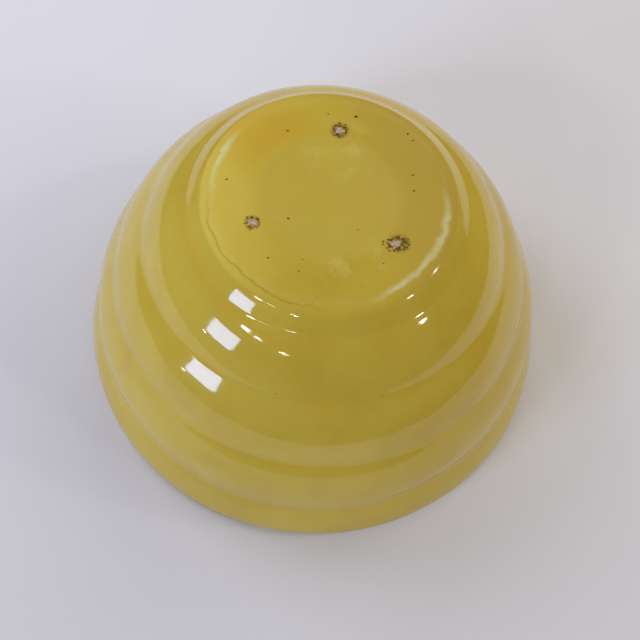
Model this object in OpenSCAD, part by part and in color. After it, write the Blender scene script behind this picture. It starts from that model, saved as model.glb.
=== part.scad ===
// Ringed earthenware mixing bowl, kept upside down: lip on z = 0, foot uppermost.
// Every outline is of the finished surface, and "depth" is how far under it a layer lies.

/* [Bowl] */
// Diameter across the lip
bowl_d = 178; // [176:0.5:180]
// Height from the lip to the foot
bowl_h = 96; // [95:0.5:97]
// Radius of the rounded lip, half of the wall's thickness there
lip_r = 3.3; // [3.1:0.1:3.5]
// Thickness of the glaze
glaze_t = 0.5; // [0.4:0.05:0.6]

/* [Foot] */
// Diameter of the flat foot
foot_d = 81; // [80:0.5:83]
// Radius of the foot's outer edge
foot_edge_r = 1.2; // [0.8:0.1:1.5]
// Diameter of the shallow dish in the middle of the foot
dish_d = 46; // [42:1:46]
// Depth of the dish
dish_depth = 0.5; // [0.2:0.1:0.8]
// Width of the dish's soft slope
dish_slope_w = 2; // [1:0.5:2]

/* [Rings] */
// Diameter over the middle of the first ring's round shoulder
shoulder_d = 81.6; // [81:0.2:82.4]
// How far the shoulder's top lies below the foot
shoulder_drop = 0.4; // [0.3:0.1:0.6]
// Radius of the first ring's shoulder
shoulder_r = 5; // [4.6:0.1:5.4]
// Diameter of the groove between the first and second rings
groove_1_d = 97; // [96:0.5:98]
// Height of the first groove
groove_1_z = 89.5; // [89:0.5:90]
// Diameter of the groove between the second and third rings
groove_2_d = 128; // [127:0.5:129]
// Height of the second groove
groove_2_z = 70; // [69:0.5:71]
// Diameter of the groove between the third and fourth rings
groove_3_d = 153; // [152:0.5:154]
// Height of the third groove
groove_3_z = 46; // [45:0.5:47]
// Diameter of the groove above the rim band
groove_4_d = 168.5; // [167.5:0.5:169.5]
// Height of the fourth groove
groove_4_z = 18.5; // [17.5:0.5:19.5]
// Bulge radius of the first ring's flank
flank_r = 50; // [40:5:70]
// Bulge radius of the second ring
ring_2_r = 34; // [28:1:45]
// Bulge radius of the third ring
ring_3_r = 41; // [34:1:50]
// Bulge radius of the fourth ring
ring_4_r = 41; // [36:1:50]
// Bulge radius of the rim band
rim_band_r = 40; // [32:1:60]
// Radius of the soft bottom of the first groove
groove_1_soft_r = 5; // [3:0.5:7]
// Radius of the soft bottoms of the other grooves
groove_soft_r = 2.5; // [1.5:0.5:3.5]

/* [Hollow] */
// Thickness of the bowl's floor
floor_t = 9; // [8:0.5:10]
// Radius of the corner between the floor and the wall
corner_sweep_r = 24; // [20:1:28]
// Radius of the wall's long sweep
side_sweep_r = 285; // [280:5:290]
// Lean of the hollow's wall at the lip, in degrees
lip_lean = 13; // [12.8:0.1:13.4]

/* [Stilt scars] */
// Distance of the three scars from the centre
scar_pitch_r = 27.5; // [27:0.5:30]
// Turn of the first scar about the centre, in degrees
scar_turn = 89; // [86:1:92]
// Diameter of each broken pin tip
pin_tip_d = 2.6; // [1.8:0.2:3]
// Diameter of the crater in the glaze round a tip
crater_d = 7; // [7:0.25:8]
// Depth of the crater
crater_depth = 0.25; // [0.2:0.05:0.25]
// Number of grit crumbs round a tip
grit_count = 10; // [6:1:10]
// Diameter of the largest crumb
grit_d = 1; // [0.6:0.1:1]

/* [Specks] */
// Diameter of the largest iron speck
speck_d = 1.4; // [0.8:0.1:1.6]
// Depth of the iron specks in the glaze
speck_depth = 0.2; // [0.1:0.05:0.25]

/* [Hidden] */

$fn = 96;
arc_step = 4;         // degrees between the points along an arc
cutter_rise = 1;      // how far a cutter stands out of the surface that it opens
foot_notch_r = 0.6;   // radius of the fine notch round the foot's edge
tip_drop = 0.12;      // how far a broken pin tip stays below the foot
crumb_drop = 0.08;    // how far the crumbs stay below the foot
crumb_root = 0.1;     // how deep the crumbs sit in the crater's floor
crater_slope_w = 0.5; // width of the crater's sloping side

clay_colour = [0.86, 0.78, 0.66];
glaze_colour = [0.74, 0.64, 0.24];
tip_colour = [0.85, 0.76, 0.72];
grit_colour = [0.24, 0.16, 0.08];
speck_colour = [0.20, 0.14, 0.07];

// The iron specks: distance from the centre, turn in degrees, share of speck_d
SPECKS = [[34.5, 81, 1], [30, 125, 0.6], [30, 26, 0.7], [28.5, 14, 0.7], [16, 218, 0.7],
          [35, 177, 0.6], [38, 51, 0.6], [37.5, 46.5, 0.5], [31, 236, 0.5], [25.5, 256, 0.4],
          [30, 257, 0.4], [15, 315, 0.4], [30, 312, 0.4], [34, 97, 0.4]];

// ---- plane geometry ----
function unit_at(a) = [cos(a), sin(a)];
function angle_of(v) = atan2(v[1], v[0]);
function reversed(list) = [for (i = [len(list) - 1:-1:0]) list[i]];

// Where two circles cross, on the left (side = 1) or the right (side = -1) of a to b
function crossing(a, ra, b, rb, side) =
    let (d = norm(b - a), u = (b - a) / d,
         along = (ra * ra - rb * rb + d * d) / (2 * d),
         across = sqrt(max(0, ra * ra - along * along)))
    a + along * u + side * across * [-u[1], u[0]];

// The points of an arc from angle a0 to angle a1, with both ends
function arc(centre, r, a0, a1) =
    let (n = max(1, ceil(abs(a1 - a0) / arc_step)))
    [for (i = [0:n]) centre + r * unit_at(a0 + (a1 - a0) * i / n)];

// ---- outside: a chain of arcs, each running smoothly into the next ----
// An arc is [centre, radius], and a hollow one has a radius below zero
foot_r = foot_d / 2;
foot_edge = [[foot_r - foot_edge_r, bowl_h - foot_edge_r], foot_edge_r];
shoulder = [[shoulder_d / 2, bowl_h - shoulder_drop - shoulder_r], shoulder_r];
grooves = [[groove_1_d / 2, groove_1_z], [groove_2_d / 2, groove_2_z],
           [groove_3_d / 2, groove_3_z], [groove_4_d / 2, groove_4_z]];
ring_radii = [ring_2_r, ring_3_r, ring_4_r];
lip_centre = [bowl_d / 2 - lip_r, lip_r];
flank = [crossing(shoulder[0], flank_r - shoulder_r, grooves[0], flank_r, -1), flank_r];
rings = [for (i = [0:2])
    [crossing(grooves[i], ring_radii[i], grooves[i + 1], ring_radii[i], -1), ring_radii[i]]];
rim_band = [crossing(grooves[3], rim_band_r, lip_centre, rim_band_r - lip_r, -1), rim_band_r];

// The hollow arc of radius r that softens the groove between bulges a and b
function soft_groove(a, b, r) = [crossing(a[0], a[1] + r, b[0], b[1] + r, 1), -r];

chain = [foot_edge, soft_groove(foot_edge, shoulder, foot_notch_r), shoulder, flank,
         soft_groove(flank, rings[0], groove_1_soft_r), rings[0],
         soft_groove(rings[0], rings[1], groove_soft_r), rings[1],
         soft_groove(rings[1], rings[2], groove_soft_r), rings[2],
         soft_groove(rings[2], rim_band, groove_soft_r), rim_band,
         [lip_centre, lip_r]];

// Direction of the surface where arc i meets the next one, and the line along arc i
function turn_after(i) =
    angle_of((chain[i + 1][0] - chain[i][0]) / (chain[i][1] - chain[i + 1][1]));
function arc_line(i, depth) =
    arc(chain[i][0], chain[i][1] - depth, i == 0 ? 90 : turn_after(i - 1), turn_after(i));
lip_start = turn_after(len(chain) - 2);

// The foot from its centre to its edge, the wall from there to the lip, and the lip
function foot_line(depth) = concat(
    [[0, bowl_h - dish_depth - depth], [(dish_d - dish_slope_w) / 2, bowl_h - dish_depth - depth],
     [(dish_d + dish_slope_w) / 2, bowl_h - depth]],
    arc_line(0, depth));
function wall_line(depth) = [for (i = [1:len(chain) - 2]) each arc_line(i, depth)];
function lip_line(depth) = concat(arc(lip_centre, lip_r - depth, lip_start, -90),
                                  arc(lip_centre, lip_r - depth, -90, lip_lean - 180));

// ---- hollow: a long side sweep from the lip, then a corner sweep into the flat floor ----
floor_z = bowl_h - floor_t;
side_centre = lip_centre - (side_sweep_r + lip_r) * unit_at(lip_lean);
corner_rise = floor_z - corner_sweep_r - side_centre[1];
sweep_gap = side_sweep_r - corner_sweep_r;
corner_centre = side_centre
    + [sqrt(sweep_gap * sweep_gap - corner_rise * corner_rise), corner_rise];
sweep_join = angle_of(corner_centre - side_centre);
function hollow_line(depth) = concat(
    arc(side_centre, side_sweep_r + depth, lip_lean, sweep_join),
    arc(corner_centre, corner_sweep_r + depth, sweep_join, 90),
    [[0, floor_z + depth]]);

// ---- layers ----
// A line without the repeated points where two arcs meet
function tidied(line) =
    [for (i = [0:len(line) - 1]) if (i == 0 || norm(line[i] - line[i - 1]) > 0.001) line[i]];

// A coat between a line on the finished surface and the same line under the glaze
module coat(surface, under) {
    rotate_extrude() polygon(concat(tidied(surface), reversed(tidied(under))));
}

// Its children at each of the three stilt scars
module at_scars() {
    for (i = [0:2]) rotate(scar_turn + 120 * i) translate([scar_pitch_r, 0, 0]) children();
}

module crater_cutter() {
    translate([0, 0, bowl_h - crater_depth])
        cylinder(d1 = crater_d - 2 * crater_slope_w, d2 = crater_d, h = crater_depth);
}

module pin_tip(rise) {
    translate([0, 0, bowl_h - glaze_t]) cylinder(d = pin_tip_d, h = glaze_t + rise);
}

// Chips of grit lie round a pin tip in a broken ring, by a rule that looks irregular
function crumb_turn(i) = 360 * i / grit_count + 5 * sin(137 * i);
function crumb_d(i) = grit_d * (0.6 + 0.4 * pow(sin(101 * i + 40), 2));
function crumb_reach(i) = pin_tip_d / 2 + grit_d / 2 + 0.2 + 0.2 * (1 + sin(223 * i));
module grit_chips(rise) {
    for (i = [0:grit_count - 1])
        rotate(crumb_turn(i))
            translate([crumb_reach(i), 0, bowl_h - crater_depth - crumb_root])
                cylinder(d = crumb_d(i), h = crater_depth + crumb_root + rise, $fn = 5 + i % 3);
}

// Height of the foot's surface at a distance from its centre
function foot_z(r) = r < dish_d / 2 ? bowl_h - dish_depth : bowl_h;
module speck_discs(rise) {
    for (s = SPECKS)
        rotate(s[1]) translate([s[0], 0, foot_z(s[0]) - speck_depth])
            cylinder(d = s[2] * speck_d, h = speck_depth + rise);
}

// ---- the pieces ----
module clay_body() {
    color(clay_colour) rotate_extrude() polygon(tidied(concat(
        foot_line(glaze_t), wall_line(glaze_t), lip_line(glaze_t), hollow_line(glaze_t))));
}

module outside_glaze() {
    color(glaze_colour) coat(wall_line(0), wall_line(glaze_t));
}

module lip_glaze() {
    color(glaze_colour) coat(lip_line(0), lip_line(glaze_t));
}

module inside_glaze() {
    color(glaze_colour) coat(hollow_line(0), hollow_line(glaze_t));
}

module foot_glaze() {
    color(glaze_colour) difference() {
        coat(foot_line(0), foot_line(glaze_t));
        at_scars() {
            crater_cutter();
            pin_tip(cutter_rise);
            grit_chips(cutter_rise);
        }
        speck_discs(cutter_rise);
    }
}

module stilt_pin_tips() {
    color(tip_colour) at_scars() pin_tip(-tip_drop);
}

module scar_grit() {
    color(grit_colour) at_scars() grit_chips(-crumb_drop);
}

module iron_specks() {
    color(speck_colour) speck_discs(0);
}

clay_body();
outside_glaze();
lip_glaze();
inside_glaze();
foot_glaze();
stilt_pin_tips();
scar_grit();
iron_specks();
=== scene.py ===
import math
from collections import namedtuple

import bmesh
import bpy
import numpy as np
from mathutils import Matrix, Vector


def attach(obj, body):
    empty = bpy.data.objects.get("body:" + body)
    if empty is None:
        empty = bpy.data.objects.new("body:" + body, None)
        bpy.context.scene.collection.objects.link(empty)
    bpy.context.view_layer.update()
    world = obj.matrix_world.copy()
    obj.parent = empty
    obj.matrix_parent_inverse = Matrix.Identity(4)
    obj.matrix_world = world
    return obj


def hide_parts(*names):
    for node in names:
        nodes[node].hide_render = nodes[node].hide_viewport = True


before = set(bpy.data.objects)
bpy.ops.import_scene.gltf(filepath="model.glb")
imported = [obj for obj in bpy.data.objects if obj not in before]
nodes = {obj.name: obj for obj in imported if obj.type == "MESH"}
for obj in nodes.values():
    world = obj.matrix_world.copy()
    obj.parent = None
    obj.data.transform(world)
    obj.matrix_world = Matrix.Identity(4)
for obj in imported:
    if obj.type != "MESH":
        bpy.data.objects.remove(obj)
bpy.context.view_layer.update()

# Lengths are in millimetres, up to the meshes, the shaders and the lamps, which are in metres
MM = 0.001
TURNS = 480             # points round the bowl
GLAZE_T = 0.5           # thickness of the glaze
CRATER_DEPTH = 0.22     # how deep a scar lies below the foot
TIP_DROP = 0.23         # how far the middle of a pin tip lies below the foot
HIGHEST_RISE = 0.12     # how far the glaze may swell above the foot


# ---- reading the frame ----
ON_SEAM = 0.002         # how far a vertex of the seam may lie from it
ON_CLAY = 0.05          # a point nearer than this to the clay's outline is shared with the clay


def vertices(node):
    """A CAD node's vertices."""
    mesh = nodes[node].data
    co = np.empty(len(mesh.vertices) * 3)
    mesh.vertices.foreach_get("co", co)
    return co.reshape(-1, 3) / MM


def seam_points(node):
    """(radius, height) of the node's vertices in the half plane y = 0, x >= 0."""
    co = vertices(node)
    on_seam = (abs(co[:, 1]) < ON_SEAM) & (co[:, 0] > -ON_SEAM)
    return np.unique(np.round(co[on_seam][:, [0, 2]], 3), axis=0)


def surface_points(node):
    """The seam points on the finished surface: those that the clay doesn't share."""
    clay = seam_points("clay_body")
    mine = seam_points(node)
    gap = np.linalg.norm(mine[:, None] - clay[None], axis=2).min(axis=1)
    return mine[gap > ON_CLAY]


def in_order(points, key):
    """The points sorted by what key gives for each."""
    return points[np.argsort(key(points), kind="stable")]


def islands(node, reach):
    """Centre (x, y) and radius of each of the node's loose parts, which lie further apart than reach."""
    groups = []
    for p in vertices(node)[:, :2]:
        near = [g for g in groups if np.hypot(*(g[0] - p)) < reach]
        if near:
            near[0].append(p)
        else:
            groups.append([p])
    found = []
    for group in groups:
        group = np.array(group)
        centre = (group.min(axis=0) + group.max(axis=0)) / 2
        found.append((centre, np.hypot(*(group - centre).T).max()))
    return found


# ---- lines of (radius, height) points ----
LONG_RUN = 4            # a straight run longer than this gets points of its own


def along(p):
    """How far along the line each point lies."""
    return np.concatenate([[0], np.cumsum(np.linalg.norm(np.diff(p, axis=0), axis=1))])


def tangents(p):
    """The line's direction at each point."""
    gap = np.linalg.norm(np.diff(p, axis=0), axis=1)[:, None]
    slope = np.diff(p, axis=0) / gap
    middle = (slope[:-1] * gap[1:] + slope[1:] * gap[:-1]) / (gap[:-1] + gap[1:])
    return np.vstack([slope[:1], middle, slope[-1:]])


def spline(p, step):
    """A smooth line through the points, with a point every step."""
    gap = np.linalg.norm(np.diff(p, axis=0), axis=1)
    place = along(p)
    t = tangents(p)
    s = np.linspace(0, place[-1], max(3, int(round(place[-1] / step)) + 1))
    i = np.clip(np.searchsorted(place, s, side="right") - 1, 0, len(gap) - 1)
    u = ((s - place[i]) / gap[i])[:, None]
    h = gap[i][:, None]
    return ((2 * u**3 - 3 * u**2 + 1) * p[i] + (u**3 - 2 * u**2 + u) * h * t[i]
            + (3 * u**2 - 2 * u**3) * p[i + 1] + (u**3 - u**2) * h * t[i + 1])


def softened(p, passes):
    """The line with its corners rounded a little by each pass, and its ends kept."""
    for _ in range(passes):
        p = np.vstack([p[:1], (p[:-2] + 2 * p[1:-1] + p[2:]) / 4, p[-1:]])
    return p


def thinned(p, step):
    """The line with a point about every step."""
    place = along(p)
    s = np.linspace(0, place[-1], max(2, int(round(place[-1] / step)) + 1))
    return np.column_stack([np.interp(s, place, p[:, 0]), np.interp(s, place, p[:, 1])])


def inward(p, depth):
    """The line moved by depth into the body, which lies on its right as it runs from the foot out and down."""
    t = np.gradient(p, axis=0)
    t /= np.linalg.norm(t, axis=1)[:, None]
    moved = p + depth * np.column_stack([t[:, 1], -t[:, 0]])
    return np.column_stack([np.maximum(moved[:, 0], 0), moved[:, 1]])


def filled(p):
    """The line with points put into its long straight runs."""
    found = [p[:1]]
    for a, b in zip(p[:-1], p[1:]):
        n = max(1, int(np.hypot(*(b - a)) / LONG_RUN))
        found.append(a + (b - a) * (np.arange(1, n + 1) / n)[:, None])
    return np.vstack(found)


def groove_points(p):
    """(radius, height) of the grooves, where the wall's line bends the other way."""
    run = np.diff(p, axis=0)
    bend = run[:-1, 0] * run[1:, 1] - run[:-1, 1] * run[1:, 0]
    found = []
    for point in p[1:-1][bend > 1e-4]:
        if found and np.hypot(*(found[-1][-1] - point)) < 3:
            found[-1].append(point)
        else:
            found.append([point])
    return [np.mean(group, axis=0) for group in found]


def first_where(test):
    """The index of the first point that passes the test."""
    return int(np.argmax(test))


# ---- the bowl's outline, from the middle of the foot out, down, round the lip and up the hollow ----
foot_line = in_order(surface_points("foot_glaze"), lambda p: p[:, 0])
wall_line = in_order(surface_points("outside_glaze"), lambda p: -p[:, 1])
lip_points = surface_points("lip_glaze")
inside_lip = np.array([(lip_points[:, 0].min() + lip_points[:, 0].max()) / 2, lip_points[:, 1].max() * 0.85])
lip_line = in_order(lip_points, lambda p: -np.arctan2(*(p - inside_lip)[:, ::-1].T))
hollow_line = in_order(surface_points("inside_glaze"), lambda p: p[:, 1] * 100 - p[:, 0])
FOOT_Z = foot_line[:, 1].max()
FOOT_R = foot_line[:, 0].max()
grooves = [g for g in groove_points(wall_line) if g[1] < FOOT_Z - 3]
outline = filled(np.vstack([[0, foot_line[0, 1]], foot_line, wall_line[1:], lip_line[1:],
                            hollow_line[1:], [0, hollow_line[-1, 1]]]))

# The line with a point every tenth of a millimetre, softened as glaze softens every edge
line = softened(spline(outline, 0.1), 60)
radius, height = line[:, 0].copy(), line[:, 1].copy()
lowest = int(np.argmin(height))
softer_runs = (
    (first_where(height < grooves[0][1] - 8), first_where(height < 8), 260),      # the rings below the first
    (first_where(radius > FOOT_R * 0.9), first_where(height < FOOT_Z - 3), 220),  # the foot's edge
    (0, first_where(radius > FOOT_R * 0.85), 400))                                # the dish in the foot
for start, end, passes in softer_runs:
    line[start:end] = softened(line[start:end], passes)


def step_at(z, outside):
    """How far apart the surface's points lie at a height: closest where the line bends most."""
    if not outside:
        return 0.5 if z < 6 else 2.0
    if z > FOOT_Z - 8:
        return 0.35
    return 0.8 if z > 8 else 0.5


def picked(p):
    """The fine line's points that the surface is made of, with both its ends."""
    keep, gone = [0], 0.0
    for i in range(1, len(p)):
        gone += np.hypot(*(p[i] - p[i - 1]))
        if gone >= step_at(p[i, 1], i < lowest) or i == len(p) - 1:
            keep.append(i)
            gone = 0.0
    return p[keep]


surface_line = picked(line)
split = int(np.argmin(np.hypot(*(surface_line - wall_line[0]).T)))   # where the foot's coat ends


# ---- slow, even unevenness ----
def ripple(p, size, seed, waves=28):
    """A smooth random field of about +-1 at the points, with bumps of about that size."""
    rng = np.random.default_rng(seed)
    way = rng.normal(size=(waves, p.shape[-1]))
    way /= np.linalg.norm(way, axis=1)[:, None]
    pull = 2 * math.pi / size * rng.uniform(0.6, 1.3, waves)[:, None] * way
    turn = rng.uniform(0, 2 * math.pi, waves)
    total = np.zeros(p.shape[:-1])
    for k, t in zip(pull, turn):
        total += np.sin(p @ k + t)
    return total / math.sqrt(waves / 2)


def eased(x, low, high):
    """0 at low, 1 at high, and smooth between them."""
    t = np.clip((x - low) / (high - low), 0, 1)
    return t * t * (3 - 2 * t)


# ---- meshes ----
def mesh_object(name, co, faces):
    """A smooth object from vertices and faces, which rides on the bowl."""
    mesh = bpy.data.meshes.new(name)
    mesh.from_pydata((co * MM).tolist(), [], faces)
    mesh.validate()
    mesh.polygons.foreach_set("use_smooth", [True] * len(mesh.polygons))
    thing = bpy.data.objects.new(name, mesh)
    bpy.context.scene.collection.objects.link(thing)
    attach(thing, "root")
    return thing


def grid(p):
    """The line turned round the axis: points (rings, turns, 3) and their outward normals."""
    turn = np.linspace(0, 2 * math.pi, TURNS, endpoint=False)
    run = np.gradient(p, axis=0)
    run /= np.linalg.norm(run, axis=1)[:, None]
    c, s = np.cos(turn)[None], np.sin(turn)[None]
    co = np.stack([p[:, :1] * c, p[:, :1] * s, p[:, 1:] * np.ones_like(c)], axis=-1)
    out = np.stack([-run[:, 1:] * c, -run[:, 1:] * s, run[:, :1] * np.ones_like(c)], axis=-1)
    return co, out


def at_pole(rings):
    """Which rings have shrunk to a point on the axis."""
    return np.hypot(rings[:, 0, 0], rings[:, 0, 1]) < 0.01


def band(a, b, a_is_point, b_is_point):
    """The faces between two rings, or a ring and a point, whose first vertices are a and b."""
    turn = np.arange(TURNS)
    ahead = (turn + 1) % TURNS
    if a_is_point:
        return np.column_stack([np.full(TURNS, a), b + turn, b + ahead]).tolist()
    if b_is_point:
        return np.column_stack([a + turn, np.full(TURNS, b), a + ahead]).tolist()
    return np.column_stack([a + turn, b + turn, b + ahead, a + ahead]).tolist()


def shell(name, surface, under, normals, line_closed):
    """A coat: the surface's rings followed by the rings under it, as one closed mesh."""
    rings = np.concatenate([surface, under])
    point = at_pole(rings)
    co, way, start, total = [], [], [], 0
    for ring, out, single in zip(rings, normals, point):
        start.append(total)
        co.append(ring[:1] if single else ring)
        way.append(out[:1] if single else out)
        total += len(co[-1])
    pairs = [(i, i + 1) for i in range(len(rings) - 1)]
    if line_closed:
        pairs.append((len(rings) - 1, 0))
    faces = []
    for a, b in pairs:
        if not (point[a] and point[b]):
            faces.extend(band(start[a], start[b], point[a], point[b]))
    thing = mesh_object(name, np.concatenate(co), faces)
    thing.data.normals_split_custom_set_from_vertices(np.concatenate(way).tolist())
    return thing


def coat(name, line, under_step, surface, normals, line_closed):
    """The glaze on one stretch of the outline, whose underside has a point about every under_step."""
    under, under_out = grid(inward(thinned(line, under_step), GLAZE_T)[::-1])
    return shell(name, surface, under, np.concatenate([normals, under_out]), line_closed)


def facing(co, out):
    """Outward normals of the uneven rings, from their neighbours."""
    down = np.gradient(co, axis=0)
    round_it = np.roll(co, -1, axis=1) - np.roll(co, 1, axis=1)
    n = np.cross(down, round_it)
    size = np.linalg.norm(n, axis=2)[..., None]
    n = np.where(size > 1e-9, n / np.maximum(size, 1e-9), out)
    pole = at_pole(co)
    n[pole] = out[pole]
    return n


# ---- the scars of the kiln stilt's three points ----
# half: half the scar's width from front to back; wide: how much wider it is across;
# thick: how thick its crumbs lie
Scar = namedtuple("Scar", "centre half wide thick")


def scar_at(centre):
    """The scar at the front right is the largest, and the one at the left the faintest."""
    if centre[0] > 10:
        return Scar(centre, 3.9, 1.28, 1.5)
    if centre[0] < -10:
        return Scar(centre, 3.0, 1.0, 0.9)
    return Scar(centre, 3.5, 1.0, 1.2)


scars = [scar_at(centre) for centre, _ in islands("stilt_pin_tips", 5)]
specks = islands("iron_specks", 1.6)


def crater(flat, scar):
    """A scar's ragged crater with a low rim, as a rise above the foot."""
    away = (flat - scar.centre) / [scar.wide, 1.0]
    far = np.hypot(away[..., 0], away[..., 1])
    edge = scar.half * (1 + 0.10 * ripple(away / (far[..., None] + 0.5), 2.2, 31))
    inside = 1 - eased(far, edge - 0.9, edge)
    rim = np.exp(-((far - edge - 0.35) / 0.45) ** 2)
    return -CRATER_DEPTH * inside + 0.05 * rim + inside * 0.05 * ripple(flat, 0.9, 32)


# ---- the finished surface and its coats ----
def foot_rise(flat):
    """How far the glaze on the foot rises above the smooth outline: slow waves, and the scars."""
    from_axis = np.hypot(flat[..., 0], flat[..., 1])
    rise = 0.09 * ripple(flat, 26, 21) + 0.03 * ripple(flat, 9, 22) + 0.005 * ripple(flat, 4.5, 13)
    rise = rise * eased(FOOT_R - from_axis, 0, 3)
    for scar in scars:
        rise += crater(flat, scar)
    return np.minimum(rise, HIGHEST_RISE)


def wall_swell(co, out):
    """The small unevenness of a turned and glazed wall, along its normal, and none near the foot."""
    drawn = co * [0.55, 0.55, 1.0]
    swell = (0.07 * ripple(drawn, 34, 11) + 0.025 * ripple(drawn, 13, 12)
             + 0.004 * ripple(co, 4.5, 13))[..., None] * out
    return swell * eased(FOOT_Z - co[..., 2], 0.4, 3)[..., None]


def finished_surface():
    """The outline turned into rings, with its unevenness and its scars, and their normals."""
    co, out = grid(surface_line)
    on_foot = np.arange(len(co))[:, None] <= split
    rise = np.where(on_foot, foot_rise(co[..., :2]), 0)
    co += np.where(on_foot[..., None], 0, wall_swell(co, out))
    co[..., 2] = np.maximum(co[..., 2] + rise, 0)
    return co, facing(co, out)


surface, normals = finished_surface()
foot_coat = coat("foot_glaze_coat", surface_line[:split + 1], 3,
                 surface[:split + 1], normals[:split + 1], False)
wall_coat = coat("wall_glaze_coat", surface_line[split:], 2.5, surface[split:], normals[split:], True)
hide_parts("foot_glaze")
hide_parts("outside_glaze", "lip_glaze", "inside_glaze")


# ---- small things in the foot: pin tips, grit and specks ----
def ball(level):
    """The vertices and faces of a unit ball."""
    bm = bmesh.new()
    bmesh.ops.create_icosphere(bm, subdivisions=level, radius=1)
    co = np.array([v.co for v in bm.verts])
    faces = [[v.index for v in f.verts] for f in bm.faces]
    bm.free()
    return co, faces


def lump(centre, size, rough, seed, level=2):
    """An irregular ball: size is its half width, depth and height."""
    co, faces = ball(level)
    swell = 1 + rough * (ripple(co, 2.2, seed, 10) + 0.5 * ripple(co, 1.0, seed + 1, 10))
    return co * swell[:, None] * size + centre, faces


def lumps(name, made):
    """One piece from many lumps."""
    co, faces, n = [], [], 0
    for c, f in made:
        co.append(c)
        faces.extend([[i + n for i in face] for face in f])
        n += len(c)
    return mesh_object(name, np.concatenate(co), faces)


def foot_height(x, y):
    """Height of the finished foot above a point."""
    ring = min(np.searchsorted(surface_line[:split, 0], math.hypot(x, y)), split)
    turn = int(round(math.atan2(y, x) / (2 * math.pi) * TURNS)) % TURNS
    return surface[ring, turn, 2]


def pin_tip(scar, k):
    """The broken point of the stilt, which stands out of the scar's floor."""
    size = np.array([1.5, 1.2, 0.36]) * (scar.half / 3.6) ** 0.5
    return lump([*scar.centre, FOOT_Z - TIP_DROP], size, 0.15, 60 + k, 4)


def crumbs(scar, k, rng):
    """The grit round a pin tip, three times round and larger near it."""
    made = []
    count = int(8 * scar.half * scar.thick)
    for j in range(count):
        turn = 2 * math.pi * (j + rng.uniform(-0.4, 0.4)) / count * 3
        reach = rng.uniform(1.5, scar.half - 0.3)
        r = rng.uniform(0.16, 0.42) * (1.45 if reach < scar.half * 0.7 else 0.85)
        x = scar.centre[0] + reach * scar.wide * math.cos(turn)
        y = scar.centre[1] + reach * math.sin(turn)
        size = np.array([r, r * rng.uniform(0.6, 1), r * 0.5])
        made.append(lump([x, y, foot_height(x, y) + r * 0.05], size, 0.24, 100 + 7 * j + 1000 * k))
    return made


def speck(centre, r, k):
    """A flat iron spot in the glaze."""
    return lump([*centre, foot_height(*centre) - 0.02], np.array([r, r * 0.8, 0.09]), 0.16, 300 + k, 3)


rng = np.random.default_rng(5)
made_tips = [pin_tip(scar, k) for k, scar in enumerate(scars)]
made_grit = [crumb for k, scar in enumerate(scars) for crumb in crumbs(scar, k, rng)]
made_specks = [speck(centre, r, k) for k, (centre, r) in enumerate(specks)]
tip_piece = lumps("broken_stilt_tips", made_tips)
grit_piece = lumps("scar_grit_crumbs", made_grit)
speck_piece = lumps("iron_speck_spots", made_specks)
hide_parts("stilt_pin_tips")
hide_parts("scar_grit")
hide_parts("iron_specks")


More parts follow.
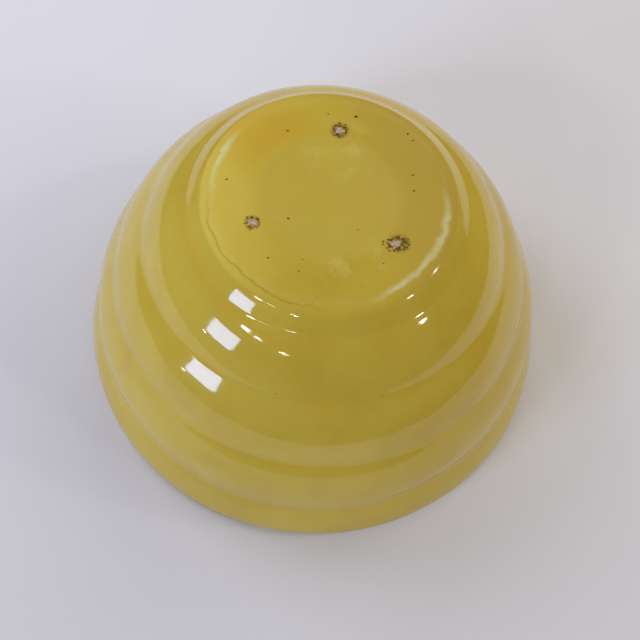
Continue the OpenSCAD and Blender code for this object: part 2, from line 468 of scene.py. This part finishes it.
# ---- materials ----
class Look:
    """A node material, with short names for the nodes that it needs.

    Sizes, depths and places are given in millimetres. What a node gives out is in metres.
    """

    def __init__(self, name):
        self.material = bpy.data.materials.new(name)
        self.material.use_nodes = True
        self.tree = self.material.node_tree
        self.shader = self.tree.nodes["Principled BSDF"]
        self.place = self.add("ShaderNodeTexCoord").outputs["Object"]

    def add(self, kind, **settings):
        node = self.tree.nodes.new(kind)
        for key, value in settings.items():
            setattr(node, key, value)
        return node

    def put(self, socket, value):
        """Links a node's output to the socket, or sets a constant on it."""
        if isinstance(value, bpy.types.NodeSocket):
            self.tree.links.new(value, socket)
        else:
            socket.default_value = value

    def math(self, operation, a, b=0.0):
        node = self.add("ShaderNodeMath", operation=operation)
        self.put(node.inputs[0], a)
        self.put(node.inputs[1], b)
        return node.outputs[0]

    def times(self, *values):
        """The product of all the values."""
        product = values[0]
        for value in values[1:]:
            product = self.math("MULTIPLY", product, value)
        return product

    def plus(self, a, b):
        return self.math("ADD", a, b)

    def noise(self, size, detail=2.0, rough=0.5, at=None, warp=0.0):
        node = self.add("ShaderNodeTexNoise")
        self.put(node.inputs["Vector"], at or self.place)
        node.inputs["Scale"].default_value = 1 / (size * MM)
        node.inputs["Detail"].default_value = detail
        node.inputs["Roughness"].default_value = rough
        node.inputs["Distortion"].default_value = warp
        return node.outputs["Fac"]

    def ease(self, value, low, high, to_low=0.0, to_high=1.0):
        """to_low where the value is low, to_high where it is high, and smooth between them."""
        node = self.add("ShaderNodeMapRange", interpolation_type="SMOOTHSTEP")
        for name, v in (("Value", value), ("From Min", low), ("From Max", high),
                        ("To Min", to_low), ("To Max", to_high)):
            self.put(node.inputs[name], v)
        return node.outputs[0]

    def mix(self, a, b, share):
        """The colour a with a share of the colour b."""
        node = self.add("ShaderNodeMix", data_type="RGBA")
        self.put(node.inputs["Factor"], share)
        self.put(node.inputs[6], a)
        self.put(node.inputs[7], b)
        return node.outputs[2]

    def scaled(self, x, y, z):
        """The place with each axis scaled, for a noise that is drawn out."""
        node = self.add("ShaderNodeVectorMath", operation="MULTIPLY")
        self.put(node.inputs[0], self.place)
        node.inputs[1].default_value = (x, y, z)
        return node.outputs[0]

    def bump(self, height, depth):
        node = self.add("ShaderNodeBump")
        node.inputs["Strength"].default_value = 1.0
        node.inputs["Distance"].default_value = depth * MM
        self.put(node.inputs["Height"], height)
        self.put(self.shader.inputs["Normal"], node.outputs[0])

    def parts(self, vector):
        """The three parts of a vector or a colour."""
        node = self.add("ShaderNodeSeparateXYZ")
        self.put(node.inputs[0], vector)
        return node.outputs

    def near(self, x, y, z, reach, soft):
        """1 within reach of a point, falling to 0 over soft."""
        node = self.add("ShaderNodeVectorMath", operation="DISTANCE")
        self.put(node.inputs[0], self.place)
        node.inputs[1].default_value = (x * MM, y * MM, z * MM)
        return self.ease(node.outputs["Value"], reach * MM, (reach + soft) * MM, 1.0, 0.0)


def linear(r, g, b):
    """A colour given as 0-255 screen values, as the shader wants it."""
    def one(v):
        v /= 255
        return v / 12.92 if v <= 0.04045 else ((v + 0.055) / 1.055) ** 2.4
    return (one(r), one(g), one(b), 1.0)


AMBER = linear(204, 160, 44)
BROWN = linear(120, 92, 44)


class Glaze(Look):
    """The yellow glaze, painted in steps over self.colour."""

    def __init__(self, name):
        super().__init__(name)
        self.x, self.y, self.z = self.parts(self.place)
        squares = self.plus(self.times(self.x, self.x), self.times(self.y, self.y))
        self.across = self.math("SQRT", squares)
        self.on_foot = self.ease(self.z, (FOOT_Z - 1.6) * MM, (FOOT_Z - 0.9) * MM)
        # the distance from the axis, a little wavy, for what follows the foot's edge
        waves = self.ease(self.noise(9, 3, 0.6), 0.3, 0.7, -0.7 * MM, 0.7 * MM)
        self.wavy = self.plus(self.across, waves)

    def paint(self, colour, *shares):
        """Lays a colour over what is there, as strongly as the product of the shares."""
        self.colour = self.mix(self.colour, colour, self.times(*shares))

    def ring(self, inner, inner_end, outer, outer_end):
        """1 on a wavy ring round the axis, which comes in and goes out between the radii."""
        return self.times(self.ease(self.wavy, inner * MM, inner_end * MM),
                          self.ease(self.wavy, outer * MM, outer_end * MM, 1.0, 0.0))

    def clouds(self):
        """The glaze's body, with broad clouds where it is thinner or thicker, and a fine grain."""
        broad = self.noise(46, 2, 0.5, self.scaled(1, 1, 1.5), 0.4)
        middle = self.noise(13, 2, 0.5, self.scaled(1, 1, 0.7), 0.4)
        clouds = self.plus(self.times(broad, 0.7), self.times(middle, 0.3))
        grain = self.math("SUBTRACT", self.noise(1.6, 3, 0.6), 0.5)
        clouds = self.plus(clouds, self.times(grain, 0.22))
        self.colour = self.mix(linear(189, 157, 46), linear(202, 175, 64),
                               self.ease(clouds, 0.22, 0.66, 0.15, 1.0))

    def pools(self):
        """Amber pools in the grooves between the rings, broken up along them."""
        broken = self.ease(self.noise(24, 2, 0.5, None, 0.3), 0.40, 0.66, 0.0, 0.38)
        for groove_r, groove_z in grooves:
            away = self.math("ABSOLUTE", self.math("SUBTRACT", self.z, groove_z * MM))
            outside = self.ease(self.across, (groove_r - 3) * MM, (groove_r - 2) * MM)
            self.paint(AMBER, self.ease(away, 0, 5 * MM, 1.0, 0.0), outside, broken)

    def foot_tints_and_painted_light(self):
        """The foot: browner to the right as painted shade and brighter to the left as painted light, for a
        light that falls off from left to right; paler over the dish; amber at the back left.
        """
        # painted shade: the right side of the foot browner, as less light reaches it
        right = self.ease(self.plus(self.x, self.times(self.y, 0.35)), 0, 42 * MM)
        self.paint(linear(188, 156, 66), right, self.on_foot, 0.8)
        # painted light: the left side of the foot brighter, as more light falls on it
        left = self.ease(self.x, -8 * MM, -38 * MM)
        self.paint(linear(222, 196, 82), left, self.on_foot, 0.7)
        dish = self.ease(self.across, 20 * MM, 27 * MM, 1.0, 0.0)
        self.paint(linear(202, 178, 82), dish, self.on_foot, 0.35)
        outside_dish = self.ease(self.across, 24 * MM, 29 * MM)
        self.paint(AMBER, self.near(-22, 20, FOOT_Z, 6, 16), outside_dish, 0.6)

    def mottles(self):
        """Two patches of pale mottles in the foot's middle."""
        mottle = self.ease(self.noise(7, 3, 0.6, None, 0.3), 0.46, 0.74)
        patches = self.math("MAXIMUM", self.near(10, -22, FOOT_Z, 3, 13), self.near(2, 20, FOOT_Z, 4, 12))
        self.paint(linear(214, 198, 104), mottle, patches, 0.62)

    def thin_edge_and_painted_highlight(self):
        """The foot's edge, pale at the right and the far left: partly glaze that is thin there, partly a
        painted highlight along the edge.
        """
        edge = self.ring(FOOT_R - 2.4, FOOT_R - 0.3, FOOT_R - 0.1, FOOT_R + 1.1)
        weak = self.ease(self.noise(7, 2, 0.5), 0.35, 0.6, 0.5, 1.0)
        thin_glaze_and_highlight = self.math("MAXIMUM", self.near(37, -18, FOOT_Z, 16, 13), self.near(-39, 9, FOOT_Z, 7, 8))
        # pale edge: partly thin glaze, partly a painted highlight
        self.paint(linear(226, 226, 172), edge, weak, self.plus(self.times(thin_glaze_and_highlight, 0.62), 0.04))

    def notch_shade_line(self):
        """A fine dark line outside the foot's edge, at the front left: painted shade in the notch there."""
        notch_shade = self.ring(FOOT_R + 0.2, FOOT_R + 0.8, FOOT_R + 0.8, FOOT_R + 1.5)
        # painted shade: the notch darkened as if in shadow
        self.paint(linear(150, 112, 40), notch_shade, self.near(-30, -36, FOOT_Z, 20, 16), 0.36)

    def stains(self):
        """A burnt stain round each scar."""
        patchy = self.ease(self.noise(1.5, 3, 0.6), 0.36, 0.60)
        for scar in scars:
            shift = 1.2 * (scar.wide > 1)
            stain = self.near(scar.centre[0] + shift, scar.centre[1], FOOT_Z, scar.half * 0.55, scar.half * 0.6)
            self.paint(BROWN, stain, patchy, 0.6 * scar.thick ** 0.5)

    def pepper(self):
        """Rare iron dots in the glaze. Returns where they are."""
        cells = self.add("ShaderNodeTexVoronoi", feature="F1")
        self.put(cells.inputs["Vector"], self.place)
        cells.inputs["Scale"].default_value = 1 / (9 * MM)
        chance = self.parts(cells.outputs["Color"])[0]
        dot = self.times(self.ease(cells.outputs["Distance"], 0.022, 0.05, 1.0, 0.0),
                         self.ease(chance, 0.72, 0.78))
        self.paint(BROWN, dot, 0.7)
        return dot

    def surface(self, dot):
        """The gloss, duller in scratches on the foot, and the glaze's faint orange peel."""
        gloss = self.ease(self.noise(5, 3, 0.6), 0.3, 0.7, 0.045, 0.085)
        scratches = self.ease(self.noise(1.2, 4, 0.7, self.scaled(1, 0.12, 1), 0.2), 0.5, 0.75, 0.0, 0.10)
        self.put(self.shader.inputs["Roughness"], self.plus(gloss, self.times(self.on_foot, scratches)))
        self.shader.inputs["IOR"].default_value = 1.5
        self.bump(self.plus(self.noise(2.6, 2, 0.5), self.times(dot, -0.6)), 0.006)


def yellow_glaze():
    glaze = Glaze("yellow_glaze")
    glaze.clouds()
    glaze.pools()
    glaze.foot_tints_and_painted_light()
    glaze.mottles()
    glaze.thin_edge_and_painted_highlight()
    glaze.notch_shade_line()
    glaze.stains()
    dot = glaze.pepper()
    glaze.put(glaze.shader.inputs["Base Color"], glaze.colour)
    glaze.surface(dot)
    return glaze.material


def plain_ceramic(name, light, dark, size, rough, depth):
    """Fired clay or grit: a grain of two colours, with bumps of that size and depth."""
    look = Look(name)
    grain = look.noise(size, 5, 0.65)
    look.put(look.shader.inputs["Base Color"], look.mix(dark, light, look.ease(grain, 0.35, 0.65)))
    look.shader.inputs["Roughness"].default_value = rough
    look.bump(grain, depth)
    return look.material


def dress(material, *things):
    """Gives each thing the material in all its slots."""
    for thing in things:
        slots = thing.data.materials
        if not slots:
            slots.append(material)
        for i in range(len(slots)):
            slots[i] = material


dress(yellow_glaze(), foot_coat, wall_coat, nodes["foot_glaze"], nodes["outside_glaze"],
      nodes["lip_glaze"], nodes["inside_glaze"])
dress(plain_ceramic("buff_clay", linear(226, 208, 176), linear(206, 184, 150), 1.5, 0.85, 0.05),
      nodes["clay_body"])
dress(plain_ceramic("broken_stilt_clay", linear(216, 192, 172), linear(160, 126, 100), 0.6, 0.8, 0.08),
      tip_piece, nodes["stilt_pin_tips"])
dress(plain_ceramic("kiln_grit", linear(150, 112, 56), linear(64, 46, 22), 0.8, 0.35, 0.05),
      grit_piece, nodes["scar_grit"])
dress(plain_ceramic("iron_speck", linear(124, 100, 42), linear(70, 54, 24), 0.5, 0.2, 0.01),
      speck_piece, nodes["iron_specks"])


# ---- floor ----
def floor_material():
    """A pale cloth. The glaze mirrors it as pale only within a circle round a point behind the bowl and dark
    beyond it, a painted reflection of a dim room; and far off it glows to the camera, painted light that keeps
    it evenly pale."""
    look = Look("pale_floor")
    cloth = look.mix(linear(232, 229, 231), linear(224, 221, 223), look.noise(180, 2, 0.5))
    rays = look.add("ShaderNodeLightPath").outputs
    beyond = look.math("SUBTRACT", 1.0, look.near(-60, 270, 0, 474, 28))
    # painted reflection: beyond the circle the glaze mirrors the floor as dark grey
    dark_reflection_share = look.times(beyond, rays["Is Glossy Ray"])
    look.put(look.shader.inputs["Base Color"], look.mix(cloth, linear(70, 70, 72), dark_reflection_share))
    # painted light: far from the bowl the floor glows to the camera
    glow_far_off = look.math("SUBTRACT", 1.0, look.near(0, 0, 0, 330, 900))
    look.shader.inputs["Emission Color"].default_value = linear(228, 228, 230)
    look.put(look.shader.inputs["Emission Strength"], look.times(glow_far_off, rays["Is Camera Ray"], 0.54))
    look.shader.inputs["Roughness"].default_value = 0.9
    look.shader.inputs["Specular IOR Level"].default_value = 0.2
    return look.material


bpy.ops.mesh.primitive_plane_add(size=6, location=(0, 0, 0))
floor = bpy.context.active_object
floor.name = "pale_floor"
dress(floor_material(), floor)

# ---- light, in metres ----
TARGET = Vector((0, 0, 0.05))
FAR = 2.2               # distance of the lamps that the glaze mirrors
NEAR = 1.1              # distance of most of the soft lamps


def towards(turn, rise, distance):
    """The place that far from the target, turned from +X and raised by degrees."""
    a, e = math.radians(turn), math.radians(rise)
    return TARGET + distance * Vector((math.cos(a) * math.cos(e), math.sin(a) * math.cos(e), math.sin(e)))


def lamp(name, turn, rise, distance, width, height, radiance, colour=(1, 1, 1), in_gloss=True):
    """A soft rectangle of light facing the bowl, with the radiance that it shows in a reflection."""
    data = bpy.data.lights.new(name, "AREA")
    data.shape = "RECTANGLE"
    data.size, data.size_y = width, height
    data.energy = radiance * math.pi * width * height
    data.color = colour
    thing = bpy.data.objects.new(name, data)
    bpy.context.scene.collection.objects.link(thing)
    thing.location = towards(turn, rise, distance)
    thing.rotation_mode = "QUATERNION"
    thing.rotation_quaternion = (thing.location - TARGET).to_track_quat("Z", "Y")
    thing.visible_glossy = in_gloss
    thing.visible_camera = False


# the window and the lamps that the glaze mirrors
lamp("window", -137, 12, FAR, 0.59, 0.80, 14.5, (0.59, 0.73, 1.15))
lamp("left_lamp", -131, 36, FAR, 0.19, 0.15, 38)
lamp("left_far_lamp", -121.5, 35, FAR, 0.17, 0.045, 40)
lamp("front_lamp_a", -104.6, 30.6, FAR, 0.11, 0.04, 55)
lamp("front_lamp_b", -102.2, 29.4, FAR, 0.11, 0.04, 45)
lamp("right_lamp", -21, 33, FAR, 0.15, 0.10, 55)
lamp("far_right_lamp", 6, 40, FAR, 0.15, 0.11, 50)
lamp("low_lamp", -145, -1, FAR, 0.06, 0.05, 45)
# the soft light of a pale room, which the glaze doesn't mirror
lamp("soft_left", 152, 42, 0.62, 0.35, 0.35, 3.4, (0.90, 0.98, 1.24), in_gloss=False)
lamp("soft_back", 90, 25, NEAR, 0.6, 0.6, 1.5, in_gloss=False)
lamp("soft_back_right", 45, 35, NEAR, 0.6, 0.6, 1.6, (1.0, 1.0, 0.94), in_gloss=False)
lamp("soft_right", 0, 35, NEAR, 0.6, 0.6, 2.0, (1.0, 0.99, 0.86), in_gloss=False)


# ---- background ----
DIFFUSE_LEVEL = 0.21    # the room's light on matt things
GLOSSY_LEVEL = 0.07     # the room as the glaze mirrors it
SEEN_MORE = 0.42        # how much brighter the background itself looks


def studio_world():
    world = bpy.data.worlds.new("studio")
    world.use_nodes = True
    tree = world.node_tree
    background = tree.nodes["Background"]
    background.inputs["Color"].default_value = (1.0, 0.92, 0.86, 1)
    rays = tree.nodes.new("ShaderNodeLightPath").outputs
    level = tree.nodes.new("ShaderNodeMapRange")
    level.inputs["To Min"].default_value = DIFFUSE_LEVEL
    level.inputs["To Max"].default_value = GLOSSY_LEVEL
    seen = tree.nodes.new("ShaderNodeMath")
    seen.operation = "MULTIPLY_ADD"
    seen.inputs[1].default_value = SEEN_MORE
    tree.links.new(rays["Is Glossy Ray"], level.inputs["Value"])
    tree.links.new(rays["Is Camera Ray"], seen.inputs[0])
    tree.links.new(level.outputs[0], seen.inputs[2])
    tree.links.new(seen.outputs[0], background.inputs["Strength"])
    return world


bpy.context.scene.world = studio_world()
bpy.context.scene.view_settings.view_transform = "Standard"

# ---- camera, in metres: it looks down on the foot from the front, and is rolled a little ----
CAMERA_AT = (0.0, -0.1974, 0.4072)
ahead = Vector((0.0054, 0.4387, -0.8986)).normalized()
up = Vector((-0.1273, 0.8916, 0.4345)).normalized()
right = ahead.cross(up).normalized()
up = right.cross(ahead)
camera_data = bpy.data.cameras.new("camera")
camera_data.sensor_width = 36
camera_data.lens = 61.875
camera = bpy.data.objects.new("camera", camera_data)
bpy.context.scene.collection.objects.link(camera)
camera.matrix_world = Matrix.Translation(CAMERA_AT) @ Matrix((right, up, -ahead)).transposed().to_4x4()
bpy.context.scene.camera = camera
